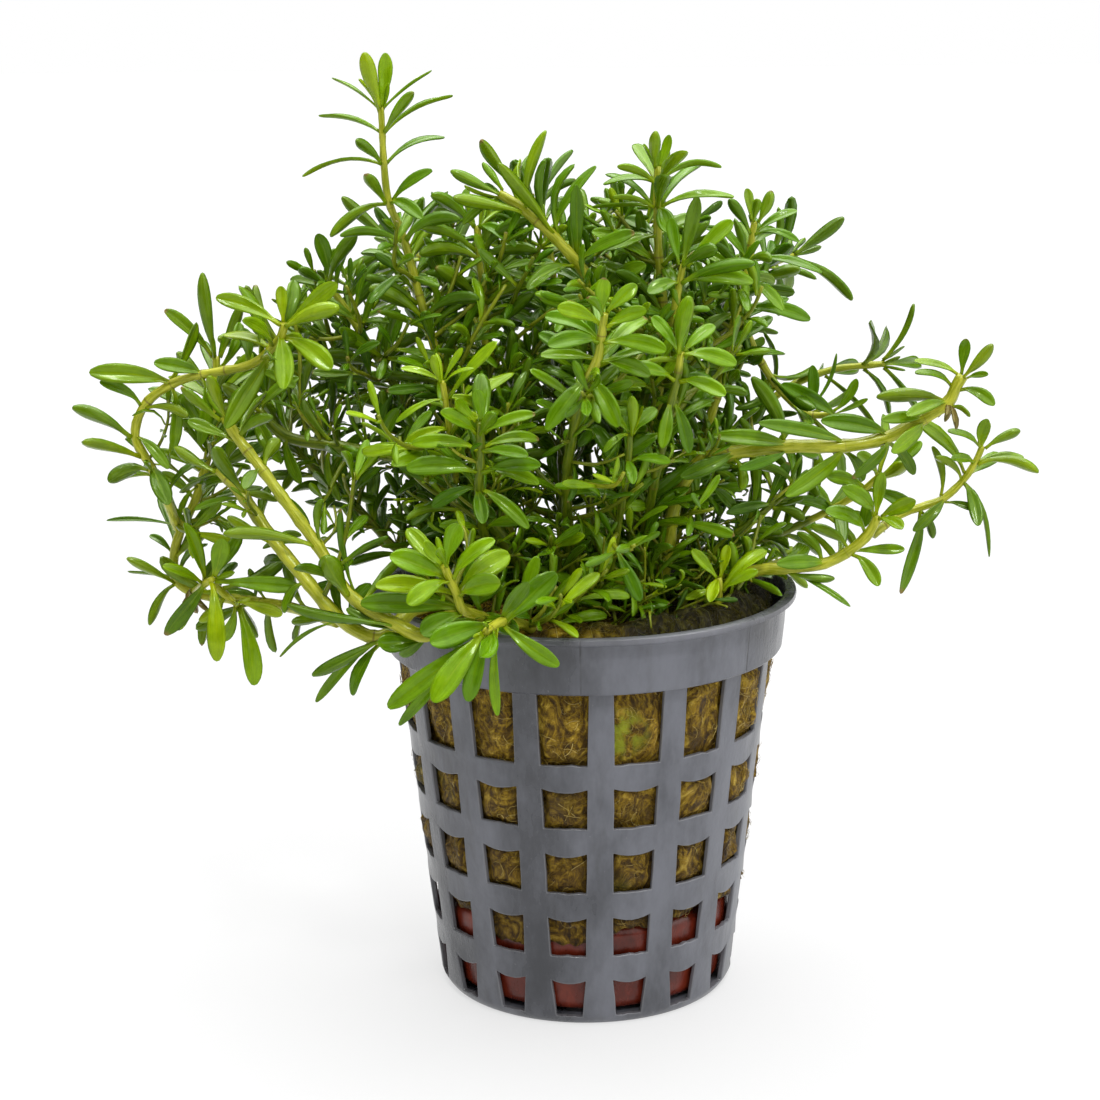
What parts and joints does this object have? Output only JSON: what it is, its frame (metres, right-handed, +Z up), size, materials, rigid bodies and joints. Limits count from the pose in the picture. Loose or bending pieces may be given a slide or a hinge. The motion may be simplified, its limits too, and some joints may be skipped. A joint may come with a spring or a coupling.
{
  "type": "potted aquarium plant",
  "caption": "Bushy rotala aquarium plant rooted in rockwool in a slotted plastic net pot, with a clay ring in its foot, to stand or sink in a tank.",
  "frame": {"origin": "the middle of the pot's underside, on the surface it stands on", "axes": "+Z up the pot's axis, -Y towards the side that the picture shows, +X to the picture's right"},
  "size_m": [0.1214, 0.0868, 0.1212],
  "materials": {
    "grey_plastic": "satin moulded plastic",
    "clay": "fired clay, slightly glazed by damp",
    "rockwool": "fibrous, damp",
    "bright_leaves": "young leaves, soft gloss",
    "green_leaves": "full-grown leaves, soft gloss",
    "dark_leaves": "old leaves, soft gloss"
  },
  "bodies": {
    "root": {"net_pot": "grey_plastic", "clay_ring": "clay", "rockwool": "rockwool", "tall_left_shoot": "green_leaves", "front_left_stem": "green_leaves", "lower_left_stem": "green_leaves", "left_side_stem": "green_leaves", "left_arch_stem": "bright_leaves", "lower_left_rosette": "bright_leaves", "lower_left_side_shoot": "bright_leaves", "back_left_stem": "dark_leaves", "left_middle_stem": "dark_leaves", "upper_left_shoot": "dark_leaves", "centre_stem": "green_leaves", "arching_top_shoot": "green_leaves", "bright_centre_shoot": "bright_leaves", "centre_rosette_shoot": "bright_leaves", "slender_yellow_shoot": "bright_leaves", "front_cluster_shoot": "bright_leaves", "front_hanging_shoot": "bright_leaves", "top_centre_shoot": "green_leaves", "right_top_shoot": "green_leaves", "pale_leaf_shoot": "green_leaves", "middle_right_shoot": "green_leaves", "inner_right_shoot": "bright_leaves", "right_long_stem": "green_leaves", "low_right_shoot": "bright_leaves", "right_reaching_shoot": "green_leaves", "right_bright_rosette": "bright_leaves", "right_upper_side_shoot": "green_leaves", "right_inner_shoot": "dark_leaves", "pale_sprout": "bright_leaves", "front_sprig": "green_leaves", "right_front_sprig": "green_leaves", "right_sprig": "green_leaves", "left_sprig": "green_leaves", "back_sprig": "green_leaves", "back_stem_far_left": "dark_leaves", "back_stem_left": "dark_leaves", "back_stem_middle": "green_leaves", "back_stem_right": "dark_leaves", "back_stem_far_right": "dark_leaves", "inner_stem_left": "dark_leaves", "inner_stem_middle": "dark_leaves", "inner_stem_right": "dark_leaves"}
  },
  "joints": []
}
